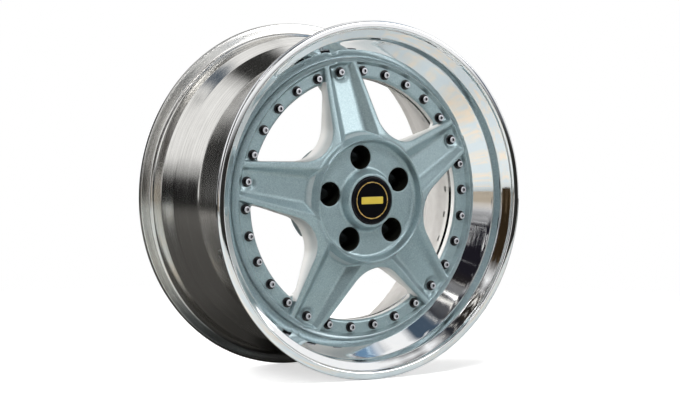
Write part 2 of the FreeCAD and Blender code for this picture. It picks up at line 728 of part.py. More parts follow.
def valve_grommet():
    inside = "valve_r + touch_gap"
    return at_valve(turned("valve_grommet", [
        (inside, "well_in + 1", "0"),
        ("valve_hole / 2 - touch_gap", "well_in + 1", "0"),
        ("valve_hole / 2 - touch_gap", "well_r + touch_gap", "0"),
        ("valve_head / 2", "well_r + touch_gap", "0"),
        ("valve_head / 2", "well_r + touch_gap + grommet_flange", "0"),
        (inside, "well_r + touch_gap + grommet_flange", "0"),
    ]))


def valve_nut():
    body = new_body("valve_nut")
    flats = new_sketch(body, "valve_nut_outline", "XZ_Plane", "valve_inside - valve_nut_height - touch_gap")
    hexagon(flats, "valve_nut_flats")
    circle(flats, "0", "0", "valve_r + touch_gap")
    pad = body.newObject("PartDesign::Pad", "valve_nut_hexagon")
    pad.Profile = flats
    pad.setExpression("Length", formula("valve_nut_height"))
    body.Tip = pad
    return at_valve(body)


def valve_cap():
    return at_valve(turned("valve_cap", [
        ("0", "valve_tip - 2", "0"),
        ("valve_cap_diameter / 2", "valve_tip - 2", "1.2"),
        ("valve_cap_diameter / 2", "valve_tip + valve_cap_grip", "0.3"),
        ("valve_r + touch_gap", "valve_tip + valve_cap_grip", "0"),
        ("valve_r + touch_gap", "valve_tip - touch_gap", "0"),
        ("0", "valve_tip - touch_gap", "0"),
    ]))


def valve_core():
    return at_valve(turned("valve_core", [
        ("0", "valve_tip + 0.5", "0"),
        ("valve_bore / 2 - touch_gap", "valve_tip + 0.5", "0"),
        ("valve_bore / 2 - touch_gap", "valve_tip + valve_core_length", "0"),
        ("0", "valve_tip + valve_core_length", "0"),
    ]))


pieces = [spoked_centre(), outer_half(), inner_half(), seam_seal()]
pieces += [centre_cap(), cap_ring(), cap_badge(), cap_spring()]
pieces += [valve_stem(), valve_grommet(), valve_nut(), valve_cap(), valve_core()]
moulds = [bolt_ring(), washer_piece(), nut_piece(), sleeve_piece()]
doc.recompute()

pieces.append(ring_of("assembly_bolts", moulds[0], "bolt_circle / 2", "bolt_count"))
pieces.append(ring_of("bolt_washers", moulds[1], "bolt_circle / 2", "bolt_count"))
pieces.append(ring_of("assembly_nuts", moulds[2], "bolt_circle / 2", "bolt_count"))
pieces.append(ring_of("nut_well_sleeves", moulds[3], "stud_circle / 2", "spoke_count"))
doc.recompute()

for item in doc.Objects:
    if "Invalid" in item.State or "Error" in item.State:
        raise RuntimeError(f"{item.Name} did not build: {item.State}")
os.makedirs("parts", exist_ok=True)
for piece in pieces:
    if piece.Shape.isNull() or not piece.Shape.isValid():
        raise RuntimeError(f"{piece.Name} has no valid shape")
    piece.Shape.exportStep(f"parts/{piece.Name}.step")
    print(piece.Name, round(piece.Shape.Volume / 1000, 2), "cm3", len(piece.Shape.Solids), "solids")
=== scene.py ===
import bmesh
import bpy
import numpy as np
from mathutils import Matrix, Vector


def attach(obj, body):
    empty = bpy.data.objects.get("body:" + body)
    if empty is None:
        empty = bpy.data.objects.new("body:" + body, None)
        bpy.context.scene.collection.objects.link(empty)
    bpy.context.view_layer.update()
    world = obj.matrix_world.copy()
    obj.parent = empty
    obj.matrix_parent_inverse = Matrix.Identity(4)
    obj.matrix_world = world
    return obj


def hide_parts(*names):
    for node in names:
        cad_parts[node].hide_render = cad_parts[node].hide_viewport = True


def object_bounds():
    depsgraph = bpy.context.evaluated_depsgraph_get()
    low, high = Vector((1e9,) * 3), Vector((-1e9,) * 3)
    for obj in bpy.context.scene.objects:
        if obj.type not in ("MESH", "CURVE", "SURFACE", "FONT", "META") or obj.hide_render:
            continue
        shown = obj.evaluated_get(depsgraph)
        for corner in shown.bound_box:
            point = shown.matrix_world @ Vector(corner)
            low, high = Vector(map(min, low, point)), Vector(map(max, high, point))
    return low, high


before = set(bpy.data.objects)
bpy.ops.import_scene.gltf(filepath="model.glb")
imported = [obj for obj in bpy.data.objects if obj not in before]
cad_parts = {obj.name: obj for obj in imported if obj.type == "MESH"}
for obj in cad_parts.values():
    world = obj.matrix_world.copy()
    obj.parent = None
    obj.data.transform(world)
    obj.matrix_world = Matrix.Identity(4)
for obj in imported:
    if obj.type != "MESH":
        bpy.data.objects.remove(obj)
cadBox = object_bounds()
print("frame loaded:", len(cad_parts), "nodes")

mm = 0.001  # the pieces' sizes are in millimetres, the studio's in metres
fullTurn = 2 * np.pi
join = np.concatenate
tiny = 1e-6


# Surfaces in wheel terms

# radius, angle clockwise from straight up, level outboard of the rim's middle
def wheelPoints(radius, angle, level):
    return np.stack([radius * np.sin(angle), -level + 0 * angle, radius * np.cos(angle)], -1) * mm


# the lower of two levels, rounded where they come within the width of each other
def smoothMin(a, b, width):
    near = np.clip(width - np.abs(a - b), 0, None) / width
    return np.minimum(a, b) - near * near * width / 4


def smoothMax(a, b, width):
    return -smoothMin(-a, -b, width)


# an S from 0 at low to 1 at high
def smoothStep(x, low, high):
    t = np.clip((x - low) / (high - low), 0, 1)
    return t * t * (3 - 2 * t)


# fall of a quarter-round edge: its whole radius at distance 0, nothing beyond it
def quarterDrop(distance, radius):
    radius = np.maximum(radius, tiny)
    reach = np.clip(radius - distance, 0, radius)
    return radius - np.sqrt(radius ** 2 - reach ** 2)


# straight runs joined by tangent arcs; each corner is radius, level, rounding
def roundedLine(corners, turnStep=10.0, mostOfRun=0.48):
    points = [np.array(corner[:2], float) for corner in corners]
    line = [points[0]]
    for k in range(1, len(points) - 1):
        here, radius = points[k], corners[k][2]
        if radius == 0:
            line.append(here)
            continue
        backLength = np.linalg.norm(points[k - 1] - here)
        aheadLength = np.linalg.norm(points[k + 1] - here)
        back = (points[k - 1] - here) / backLength
        ahead = (points[k + 1] - here) / aheadLength
        opening = np.arccos(np.clip(back @ ahead, -1, 1))
        reach = min(radius / np.tan(opening / 2), mostOfRun * backLength, mostOfRun * aheadLength)
        radius = reach * np.tan(opening / 2)
        middle = here + (back + ahead) / np.linalg.norm(back + ahead) * radius / np.sin(opening / 2)
        first, last = here + back * reach - middle, here + ahead * reach - middle
        start = np.arctan2(first[1], first[0])
        turn = (np.arctan2(last[1], last[0]) - start + np.pi) % fullTurn - np.pi
        count = max(2, int(np.ceil(np.degrees(abs(turn)) / turnStep)))
        angle = start + turn * np.linspace(0, 1, count + 1)
        line.extend(middle + radius * np.stack([np.cos(angle), np.sin(angle)], 1))
    line.append(points[-1])
    return np.array(line)


# adds points along the long straight runs of a line
def withSteps(line, longest):
    pieces = [line[:1]]
    for a, b in zip(line[:-1], line[1:]):
        count = max(1, int(np.ceil(np.linalg.norm(b - a) / longest)))
        t = np.linspace(0, 1, count + 1)[1:, None]
        pieces.append(a + (b - a) * t)
    return join(pieces)


# grids of points gathered into one mesh
class Shell:
    def __init__(self):
        self.points, self.quads, self.count = [], [], 0

    def grid(self, first, second, third, keep=None):
        rows, columns = first.shape
        ids = self.count + np.arange(rows * columns).reshape(rows, columns)
        self.points.append(np.stack([first.ravel(), second.ravel(), third.ravel()], 1))
        quads = np.stack([ids[:-1, :-1], ids[1:, :-1], ids[1:, 1:], ids[:-1, 1:]], -1)
        self.quads.append((quads if keep is None else quads[keep]).reshape(-1, 4))
        self.count += rows * columns

    # straight wall between two runs of points, in even steps or at given shares
    def wall(self, top, bottom, steps):
        shares = np.linspace(0, 1, steps + 1) if isinstance(steps, int) else steps
        t = shares[:, None]
        self.grid(*(top[k] + (bottom[k] - top[k]) * t for k in range(3)))

    def joined(self):
        return join(self.points), join(self.quads)


# puts points and quads into a mesh, welds the seams and turns the faces outwards
def newPiece(name, points, quads, sharpAngle=32.0, weld=2e-6):
    mesh = bpy.data.meshes.new(name)
    mesh.from_pydata(points.tolist(), [], quads.tolist())
    work = bmesh.new()
    work.from_mesh(mesh)
    bmesh.ops.remove_doubles(work, verts=work.verts, dist=weld)
    bmesh.ops.dissolve_degenerate(work, edges=work.edges, dist=weld)
    bmesh.ops.recalc_face_normals(work, faces=work.faces)
    work.to_mesh(mesh)
    work.free()
    mesh.shade_smooth()
    mesh.set_sharp_from_angle(angle=np.radians(sharpAngle))
    piece = bpy.data.objects.new(name, mesh)
    bpy.context.scene.collection.objects.link(piece)
    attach(piece, "root")
    return piece


# closed profile of (radius, level) turned about the axis
def turnedPiece(name, line, segments):
    closed = join([line, line[:1]])
    angle = np.linspace(0, fullTurn, segments + 1)
    shell = Shell()
    shell.grid(closed[:, :1] + 0 * angle, angle + 0 * closed[:, :1], closed[:, 1:] + 0 * angle)
    points, quads = shell.joined()
    return newPiece(name, wheelPoints(*points.T), quads)


# Spoked centre

starShape = {
    "spokes": 5,
    "phase": -8.8,  # first spoke, degrees clockwise from straight up
    "pad": 62.6,  # bolt pads, outboard of the rim's middle
    "windowEnd": 160.5,  # outer end of a window
    "spokeHalf": 28.2,  # half width of a spoke there
    "spokeTaper": 7.8,  # its edge against its centre line, degrees
    "windowRound": 44.0,  # bend of a window at the hub
    "windowCorner": 6.0,
    "crestRound": 3.2,  # rounded edges of the spokes
    "backRound": 3.6,
    "flankFoot": 2.4,  # cove where a spoke meets the pads
    "padEdge": 178.4,  # outside of the pads
    "padBevel": 163.5,  # the pads fall away inside this
    "padFall": 0.8,
    "padBlend": 0.6,  # rounding where the pads meet the front profile
    "padRound": 0.8,  # edge of the pads along the window
    "beadCrest": (182.3, 5.6),  # radius and level; levels from here on are from the pads
    "studCircle": 57.15,  # radius
    "wellRadius": 16.05,
    "wellEdge": 0.9,
    "studRadius": 7.25,
    "studEdge": 0.6,
    "sharpAngle": 40.0,
    "wellFloor": -39.6,
    "front": [(32.1, 38.0, 0), (35.3, 38.0, 1.2), (40.5, 24.6, 4.5), (76.0, 24.6, 5.5), (78.8, 36.6, 1.2),
              (80.8, 38.4, 1.2), (82.8, 37.0, 1.6), (86.0, 30.6, 6.0), (182.3, 5.6, 3.0), (187.3, -3.0, 1.5)],
    "back": [(38.05, -57.6, 0), (73.0, -57.6, 2.0), (75.5, -17.2, 12.0), (93.5, -9.2, 14.0),
             (148.0, -3.5, 10.0), (157.5, -10.0, 1.0), (187.3, -10.0, 0)],
    "bore": [(32.1, 32.3), (28.3, 32.3), (28.3, 24.3), (33.0, 24.3), (33.0, -12.6), (36.55, -12.6),
             (36.55, -56.1)],
}
troughShape = {
    "start": 80.5,  # no trough inside this radius
    "floorRoot": (90.0, 17.0, 16.6),  # along the spoke, level, half width
    "floorTip": (178.4, 0.0, 13.7),
    "mouthRoot": (81.4, 37.0, 36.5),
    "mouthTip": (184.0, 10.0, 22.6),
    "cove": 3.2,
    "ridge": 1.8,
    "boltCircle": 170.0,
    "spotRadius": 9.0,
    "spotBlend": 0.8,
}

# how closely the grid of the centre is drawn
starMesh = {
    "profileRows": (85.5, 180.3),  # the profile's own points are rows inside and outside these
    "hubRows": (44.5, 71, 14),  # from, to, how many
    "turnRows": [72.4, 73.2, 73.9, 74.7, 75.5, 84.2, 85.2, 86.2, 87.2, 161.0, 161.6, 162.4, 163.5,
                 177.8, 178.4, 179.2, 180.0],  # at the hub's ring, the bevel and the bead
    "bendRows": [3.6, 2.7, 1.9, 1.2, 0.7, 0.3, 0.1],  # inside the window's bend
    "spokeRows": 17,
    "cornerPoints": 7,
    "boltRows": (165, 177, 8),
    "closestRows": 0.22,
    "columns": [5, 4, 3, 4, 4, 6],  # steps from the middle of a spoke to its edge
    "coveReach": (2.6, 2.4),  # columns inside and outside the edge of the trough's floor
    "ridgeReach": 1.9,  # columns on both sides of the ridge
    "ridgeRoom": (5.0, 6.2),  # least room from floor to ridge and from ridge to edge
    "crestRoom": 0.4,
    "hubToSpoke": (74.0, 83.5),  # even columns inside, the trough's lines outside
    "backDrawn": 45,  # inside this the back's rows are drawn out to the hub bore
    "wellOpening": (40.3, 74.7, 19.0),  # rows and half angle of the opening for a nut well
    "wellShares": [0, 0.3, 0.55, 0.75, 0.88, 0.95, 0.985, 1.0],
    "padShares": [0, 0.12, 0.28, 0.5, 0.75, 1.0],
    "padColumns": 16,
    "wallSteps": 3,
}


# outline of a window: a V with a bend at the hub, closed by an arc
def windowPlan(s, bendPoints=13):
    part, taper = np.pi / s["spokes"], np.radians(s["spokeTaper"])
    side = part + taper
    lean = np.sin(part) + np.cos(part) * np.tan(taper)
    apex = (s["spokeHalf"] + s["windowEnd"] * np.tan(taper)) / lean
    middle = apex + s["windowRound"] / np.sin(side)
    bend = np.linspace(0, np.pi / 2 - side, bendPoints)
    across = s["windowRound"] * np.sin(bend)
    along = middle - s["windowRound"] * np.cos(bend)
    return {"slice": part, "side": side, "apex": apex, "middle": middle,
            "bendRadius": np.hypot(across, along), "bendAngle": part - np.arctan2(across, along)}


# angle from a spoke's middle to a line in the window, that far from its flank
def flankAngle(plan, radius, inside):
    return plan["slice"] - plan["side"] + np.arcsin((plan["apex"] * np.sin(plan["side"]) + inside) / radius)


# distance to the nearest window edge, positive in the metal, and to the flank alone
def windowGap(s, plan, radius, angle):
    off, side = plan["slice"] - np.abs(angle), plan["side"]
    p, q = radius * np.sin(off), radius * np.cos(off) - plan["middle"]
    along = p * np.sin(side) + q * np.cos(side)
    across = p * np.cos(side) - q * np.sin(side)
    wedge = np.where(along > 0, across, np.hypot(p, q)) - s["windowRound"]
    corner = s["windowCorner"]
    a, b = wedge + corner, radius - s["windowEnd"] + corner
    gap = np.minimum(np.maximum(a, b), 0) + np.hypot(np.maximum(a, 0), np.maximum(b, 0)) - corner
    return gap, wedge


# value k on the straight line from root to tip, by the distance along it
def alongLine(along, root, tip, k):
    return root[k] + (along - root[0]) * (tip[k] - root[k]) / (tip[0] - root[0])


# level and half width of a trough's floor and of its mouth
def troughLines(t, along):
    floor, floorHalf = (alongLine(along, t["floorRoot"], t["floorTip"], k) for k in (1, 2))
    mouth, mouthHalf = (alongLine(along, t["mouthRoot"], t["mouthTip"], k) for k in (1, 2))
    return floor, floorHalf, mouth, mouthHalf


# level of a trough: its floor, leaning walls and two end walls, blended by coves
def troughLevel(t, radius, across, along):
    floor, floorHalf, mouth, mouthHalf = troughLines(t, along)
    wall = floor + (np.abs(across) - floorHalf) * (mouth - floor) / (mouthHalf - floorHalf)
    hubEnd = alongLine(radius, t["floorRoot"], t["mouthRoot"], 1)
    rimEnd = alongLine(radius, t["floorTip"], t["mouthTip"], 1)
    level = floor
    for side in (wall, hubEnd, rimEnd):
        level = smoothMax(level, side, t["cove"])
    spot = np.maximum(0, np.hypot(across, along - t["boltCircle"]) - t["spotRadius"])
    return smoothMin(level, spot, t["spotBlend"])


# drops a row that comes too close to the one before, but none of the fixed rows
def spacedRows(rows, fixed, closest, same=1e-4):
    rows = np.unique(np.round(rows, 6))
    isFixed = np.abs(rows[:, None] - fixed).min(1) < same
    kept = []
    for value, must in zip(rows, isFixed):
        tooClose = kept and value - kept[-1][0] < closest
        if tooClose and not must:
            continue
        if tooClose and not kept[-1][1]:
            kept.pop()
        kept.append((value, must))
    return np.array([value for value, must in kept])


# radii of the grid rows: close together where the form turns
def starRows(s, m, plan, front):
    low, end = plan["bendRadius"][0], s["windowEnd"]
    hubSide, rimSide = m["profileRows"]
    cornerTurn = np.linspace(0, np.pi / 2, m["cornerPoints"])
    cornerRows = end - s["windowCorner"] + s["windowCorner"] * np.sin(cornerTurn)
    cornerInset = s["windowCorner"] * (1 - np.cos(cornerTurn))
    rows = join([
        front[front[:, 0] < hubSide, 0],
        np.linspace(*m["hubRows"]),
        m["turnRows"],
        low - np.array(m["bendRows"]),
        plan["bendRadius"],
        np.linspace(plan["bendRadius"][-1], cornerRows[0], m["spokeRows"])[1:-1],
        cornerRows,
        np.linspace(*m["boltRows"]),
        front[front[:, 0] > rimSide, 0],
    ])
    fixed = join([plan["bendRadius"][[0, -1]], cornerRows, front[[0, -1], 0]])
    return spacedRows(rows, fixed, m["closestRows"]), cornerRows, cornerInset


# angle of a spoke's edge in each row: half the spacing on the hub, then the bend, then the flank
def spokeEdge(plan, rows):
    low, bendEnd = plan["bendRadius"][[0, -1]]
    edge = np.full(len(rows), plan["slice"])
    bend = (rows >= low) & (rows <= bendEnd)
    edge[bend] = np.interp(rows[bend], plan["bendRadius"], plan["bendAngle"])
    edge[rows > bendEnd] = flankAngle(plan, rows[rows > bendEnd], 0)
    return edge


# angles of the grid columns: even round the hub, along the trough's lines on the spokes
def starColumns(s, t, m, plan, rows, base):
    edge = spokeEdge(plan, rows)
    edgeAcross = rows * np.sin(edge)
    floor, floorHalf, mouth, mouthHalf = troughLines(t, rows)
    ridge = floorHalf + (base(rows) - floor) * (mouthHalf - floorHalf) / (mouth - floor)
    floorRoom, edgeRoom = m["ridgeRoom"]
    ridge = np.clip(ridge, floorHalf + floorRoom, edgeAcross - edgeRoom)
    coveIn, coveOut = m["coveReach"]
    stops = [0 * rows, floorHalf - coveIn, floorHalf + coveOut, ridge - m["ridgeReach"],
             ridge + m["ridgeReach"], edgeAcross - s["crestRound"] - m["crestRoom"]]
    stops = [np.arcsin(np.clip(x / rows, -1, 1)) for x in stops] + [edge]
    columns = [stops[0][:, None]]
    for k, count in enumerate(m["columns"]):
        share = np.linspace(0, 1, count + 1)[1:]
        if k == len(m["columns"]) - 1:
            share = np.sin(share * np.pi / 2)  # closer together on the rounded edge
        columns.append(stops[k][:, None] + (stops[k + 1] - stops[k])[:, None] * share)
    onSpoke = join(columns, 1)
    even = plan["slice"] * np.linspace(0, 1, sum(m["columns"]) + 1) + 0 * rows[:, None]
    half = even + (onSpoke - even) * smoothStep(rows, *m["hubToSpoke"])[:, None]
    return join([-half[:, :0:-1], half], 1)


# a run of points with its first one again at the end
def shut(run):
    return tuple(np.append(values, values[:1]) for values in run)


# one spoke's share of the centre, as sheets over radius and angle
class Star(Shell):
    def __init__(self, s, t, m):
        super().__init__()
        self.s, self.m, self.plan = s, m, windowPlan(s)
        self.frontLine, self.backLine = roundedLine(s["front"]), roundedLine(s["back"])
        self.rows, self.cornerRows, self.cornerInset = starRows(s, m, self.plan, self.frontLine)
        self.angle = starColumns(s, t, m, self.plan, self.rows, self.base)
        self.radius = self.rows[:, None] + 0 * self.angle
        self.gap, self.wedge = windowGap(s, self.plan, self.radius, self.angle)
        self.onWindow = self.radius < self.cornerRows[0]
        self.setFront(t)
        self.setBack()

    def base(self, radius):
        return np.interp(radius, self.frontLine[:, 0], self.frontLine[:, 1])

    def under(self, radius):
        return np.interp(radius, self.backLine[:, 0], self.backLine[:, 1])

    # flat between the spokes, bevelled inside, with a leaning wall up to the bead
    def padLevel(self, radius):
        crestRadius, crest = self.s["beadCrest"]
        bevel = -np.clip(self.s["padBevel"] - radius, 0, None) * self.s["padFall"]
        wall = (radius - self.s["padEdge"]) * crest / (crestRadius - self.s["padEdge"])
        return smoothMin(np.maximum(bevel, wall), self.base(radius), self.s["padBlend"])

    def stepHeight(self, radius):
        return np.clip(self.base(radius) - self.padLevel(radius), 0, None)

    # the pads with a cove along the spoke and a rounded edge along the window
    def padSurface(self, radius, angle):
        gap, wedge = windowGap(self.s, self.plan, radius, angle)
        foot = np.minimum(self.s["flankFoot"], self.stepHeight(radius) / 2)
        cove = quarterDrop(np.maximum(-wedge, 0), foot)
        return self.padLevel(radius) + cove - quarterDrop(np.maximum(gap, 0), self.s["padRound"])

    # front: the profile, cut by the trough, less the rounded edges
    def setFront(self, t):
        radius, crestRound = self.radius, self.s["crestRound"]
        across, along = radius * np.sin(self.angle), radius * np.cos(self.angle)
        flankRound = np.minimum(crestRound, self.stepHeight(radius) / 2)
        edgeRound = np.where(self.onWindow, crestRound, flankRound)
        edgeGap = np.maximum(np.where(self.onWindow, self.gap, self.wedge), 0)
        cut = smoothMin(self.base(radius), troughLevel(t, radius, across, along), t["ridge"])
        form = np.where(radius < t["start"], self.base(radius), cut)
        self.level = form - quarterDrop(edgeGap, edgeRound)

    # back: its own profile with rounded window edges, its inner rows drawn out to the hub bore
    def setBack(self):
        rows, drawn, bore = self.rows, self.m["backDrawn"], self.s["back"][0][0]
        backRows = np.where(rows < drawn, np.interp(rows, [rows[0], drawn], [bore, drawn]), rows)
        self.backRadius = backRows[:, None] + 0 * self.angle
        edge = quarterDrop(np.maximum(self.gap, 0), self.s["backRound"])
        self.backLevel = self.under(self.backRadius) + np.where(self.onWindow, edge, 0)

    def rowAt(self, value):
        return int(np.abs(self.rows - value).argmin())

    # front and back sheets, open where the nut well goes through
    def addSheets(self):
        inner, outer, halfAngle = self.m["wellOpening"]
        rows, columns = self.angle.shape
        i0, i1, middle = self.rowAt(inner), self.rowAt(outer), columns // 2
        reach = int(np.searchsorted(self.angle[i0, middle:], np.radians(halfAngle)))
        self.opening = i0, i1, middle - reach, middle + reach
        solid = np.ones((rows - 1, columns - 1), bool)
        solid[i0:i1, middle - reach:middle + reach] = False
        self.grid(self.radius, self.angle, self.level, solid)
        self.grid(self.backRadius, self.angle, self.backLevel, solid)

    # values of a sheet once round its opening
    def loopOf(self, block):
        i0, i1, j0, j1 = self.opening
        sides = [block[i0, j0:j1], block[i0:i1, j1], block[i1, j1:j0:-1], block[i1:i0:-1, j0]]
        return join(sides)

    # circle about the stud's axis at one level
    def ringRun(self, turn, ring, height):
        x, y = ring * np.cos(turn), ring * np.sin(turn) + self.s["studCircle"]
        return np.hypot(x, y), np.arctan2(x, y), np.full(len(turn), height)

    # sheet from the square opening to a round hole; each point runs straight to the circle
    def addHole(self, radius, level, profile, ring, edge, side):
        stud = self.s["studCircle"]
        out, around = self.loopOf(radius), self.loopOf(self.angle)
        fromX, fromY = out * np.sin(around), out * np.cos(around) - stud
        turn = np.arctan2(fromY, fromX)
        share = np.array(self.m["wellShares"])[:, None]
        x = fromX + (ring * np.cos(turn) - fromX) * share
        y = fromY + (ring * np.sin(turn) - fromY) * share
        r, a = np.hypot(x, y + stud), np.arctan2(x, y + stud)
        z = profile(r) - side * quarterDrop(np.hypot(x, y) - ring, edge)
        z[0] = self.loopOf(level)
        self.grid(*(join([values, values[:, :1]], 1) for values in (r, a, z)))
        return turn, (r[-1], a[-1], z[-1])

    # nut well, its floor, and the stud hole from there to the back
    def addWell(self):
        well, stud, floor = self.s["wellRadius"], self.s["studRadius"], self.s["wellFloor"]
        turn, wellTop = self.addHole(self.radius, self.level, self.base, well, self.s["wellEdge"], 1)
        backTurn, studEnd = self.addHole(self.backRadius, self.backLevel, self.under, stud,
                                         self.s["studEdge"], -1)
        wellFoot, studTop = self.ringRun(turn, well, floor), self.ringRun(backTurn, stud, floor)
        self.wall(shut(wellTop), shut(wellFoot), self.m["wallSteps"])
        self.wall(shut(wellFoot), shut(studTop), 1)
        self.wall(shut(studTop), shut(studEnd), 2)

    # stepped bore from the front edge to the back edge
    def addBore(self):
        angle = self.angle[0]
        runs = [(self.radius[0], angle, self.level[0])]
        runs += [(0 * angle + r, angle, 0 * angle + z) for r, z in self.s["bore"]]
        runs.append((self.backRadius[0], angle, self.backLevel[0]))
        for upper, lower in zip(runs[:-1], runs[1:]):
            self.wall(upper, lower, 1)

    # window corner and pad on one side of the spoke, each as radius, angle and level
    def padSheets(self):
        near = np.array(self.m["padShares"])
        far = np.linspace(0, 1, self.m["padColumns"] + 1)[1:]
        first, end = self.rowAt(self.cornerRows[0]), self.rowAt(self.s["windowEnd"])
        cornerR = self.rows[first:end + 1][:, None] + 0 * near
        inset = np.interp(cornerR, self.cornerRows, self.cornerInset) * near
        cornerA = flankAngle(self.plan, cornerR, inset)
        padR = self.rows[end:][:, None]
        padA = flankAngle(self.plan, padR, self.s["windowCorner"] * near)
        last = padA[:, -1:]
        padA = join([padA, last + (self.plan["slice"] - last) * far], 1)
        padR = padR + 0 * padA
        return [(r, a, self.padSurface(r, a)) for r, a in ((cornerR, cornerA), (padR, padA))]

    # wall from a run of points straight to the back
    def wallDown(self, run):
        self.wall(run, (run[0], run[1], self.under(run[0])), self.m["wallSteps"])

    # the flank in the window is cut at the level where the pad meets it, so that their edges join
    def addFlank(self, column, padMeets):
        first, last = self.rowAt(self.plan["bendRadius"][0]), self.rowAt(self.cornerRows[0])
        run = slice(first, last + 1)
        top, bottom = self.level[run, column], self.backLevel[run, column]
        meet = (top[-1] - padMeets) / (top[-1] - bottom[-1])
        steps = np.linspace(0, 1, self.m["wallSteps"] + 1)
        cuts = join([meet * steps, meet + (1 - meet) * steps[1:]])
        rows, angle = self.rows[run], self.angle[run, column]
        self.wall((rows, angle, top), (rows, angle, bottom), cuts)

    # one side of the spoke: corner and pad, the flank, its foot on the pads, and the pad's ends
    def addSide(self, sign, sheets):
        column = -1 if sign > 0 else 0
        corner, pad = [(r, sign * a, z) for r, a, z in sheets]
        for r, a, z in (corner, pad):
            self.grid(r, a, z)
            self.grid(r, a, self.under(r))
        self.addFlank(column, corner[2][0, 0])
        first, near = self.rowAt(self.cornerRows[0]), len(self.m["padShares"])
        crest = (self.rows[first:], self.angle[first:, column], self.level[first:, column])
        foot = tuple(join([c[:, 0], p[1:, 0]]) for c, p in zip(corner, pad))
        self.wall(crest, foot, self.m["wallSteps"])
        self.wallDown(tuple(join([c[:, -1], p[0, near:]]) for c, p in zip(corner, pad)))
        self.wallDown(tuple(p[-1] for p in pad))


# the spoke's share turned to each of the spokes' places
def buildStar(s, t, m):
    star = Star(s, t, m)
    star.addSheets()
    star.addWell()
    star.addBore()
    sheets = star.padSheets()
    for sign in (1, -1):
        star.addSide(sign, sheets)
    star.wallDown((star.radius[-1], star.angle[-1], star.level[-1]))
    polar, quads = star.joined()
    turns = np.radians(s["phase"]) + fullTurn / s["spokes"] * np.arange(s["spokes"])
    points = wheelPoints(polar[:, 0], polar[:, 1] + turns[:, None], polar[:, 2] + s["pad"])
    quads = quads + (np.arange(s["spokes"]) * len(polar))[:, None, None]
    return newPiece("spoked_centre", points.reshape(-1, 3), quads.reshape(-1, 4), s["sharpAngle"])


# Rim halves

rimShape = {
    "segments": 288,
    "turnStep": 8.0,  # degrees along the roundings of the profile
    "longest": 6.0,  # step along its straight runs
    "lip": [(235.6, 101.6, 2.5), (235.6, 108.6, 4.0), (225.2, 108.6, 3.0), (223.7, 104.1, 2.5),
            (212.8, 96.6, 4.0), (211.4, 81.6, 5.0), (187.6, 57.6, 1.0), (187.6, 52.6, 0), (161.0, 52.6, 0),
            (161.0, 46.1, 0), (190.0, 46.1, 0), (193.0, 49.1, 0), (193.0, 55.1, 6.0), (216.55, 79.6, 5.0),
            (218.3, 101.6, 6.5)],
    "barrel": [(235.6, -101.6, 2.5), (218.3, -101.6, 6.5), (216.55, -78.6, 2.5), (206.0, -63.6, 6.0),
               (193.0, -19.9, 20.0), (193.0, 43.1, 0), (190.0, 46.1, 0), (161.0, 46.1, 0), (161.0, 39.6, 0),
               (187.5, 39.6, 5.0), (187.5, -21.9, 20.0), (200.5, -61.6, 10.0), (211.4, -78.6, 8.0),
               (212.4, -95.6, 6.0), (226.6, -108.6, 3.0), (235.6, -108.6, 3.5)],
}


# the corner list as a closed ring that starts in the middle of its first straight run
def closedLine(corners, turnStep, longest):
    first, last = np.array(corners[0][:2], float), np.array(corners[-1][:2], float)
    start = tuple((first + last) / 2) + (0,)
    line = roundedLine([start] + list(corners) + [start], turnStep)
    return withSteps(line, longest)[:-1]


def buildRim(name, r, corners):
    return turnedPiece(name, closedLine(corners, r["turnStep"], r["longest"]), r["segments"])


star = buildStar(starShape, troughShape, starMesh)
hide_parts("wheel_centre")
print("spoked centre:", len(star.data.polygons), "faces")
lip = buildRim("polished_lip", rimShape, rimShape["lip"])
barrel = buildRim("spun_barrel", rimShape, rimShape["barrel"])
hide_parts("outer_rim_half")
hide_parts("inner_rim_half")
print("rim halves:", len(lip.data.polygons) + len(barrel.data.polygons), "faces")


# Cap bar: a plain plate with rounded corners and a softened edge

barShape = {
    "width": 33.5,
    "height": 9.4,
    "corner": 0.9,
    "edge": 0.25,
    "bulge": 0.3,  # where the softened edge bends, as a share of it
    "back": 101.45,
    "front": 101.95,
    "steps": 6,
    "sharpAngle": 40.0,
}


# outline of the plate: the middles of its round corners, and the points on them
def barOutline(b):
    turn = np.linspace(0, np.pi / 2, b["steps"] + 1)
    quarter = np.stack([np.cos(turn), np.sin(turn)], 1)
    swing = [(1, 1, 1), (-1, 1, -1), (-1, -1, 1), (1, -1, -1)]
    arcs = [quarter[::way] * (sx, sz) for sx, sz, way in swing]
    core = np.array([b["width"] / 2 - b["corner"], b["height"] / 2 - b["corner"]])
    corners = [core * np.array([sx, sz]) for sx, sz, way in swing]
    ring = join([corner + arc * b["corner"] for corner, arc in zip(corners, arcs)])
    middle = join([corner + 0 * arc for corner, arc in zip(corners, arcs)])
    return middle, ring


# rings of points run from the middle of the front to the middle of the back
# each ring is the rounded rectangle, drawn in by its own inset at its own level
def buildBar(b):
    middle, ring = barOutline(b)
    bulge, depth = b["edge"] * b["bulge"], b["front"] - b["back"]
    insets = np.array([b["corner"], b["edge"], bulge, 0, 0, b["corner"]])
    levels = b["front"] - np.array([0, 0, bulge, b["edge"], depth, depth])
    share = 1 - insets[:, None, None] / b["corner"]
    flat = middle + (ring - middle) * share
    rings = join([flat[:1] * 0, flat, flat[-1:] * 0])
    height = join([[b["front"]], levels, [b["back"]]])[:, None] + 0 * rings[..., 0]
    closed = join([rings, rings[:, :1]], 1)
    height = join([height, height[:, :1]], 1)
    shell = Shell()
    shell.grid(closed[..., 0], -height, closed[..., 1])
    points, quads = shell.joined()
    return newPiece("cap_bar", points * mm, quads, b["sharpAngle"])


bar = buildBar(barShape)
print("cap bar:", len(bar.data.polygons), "faces")


# Finishes

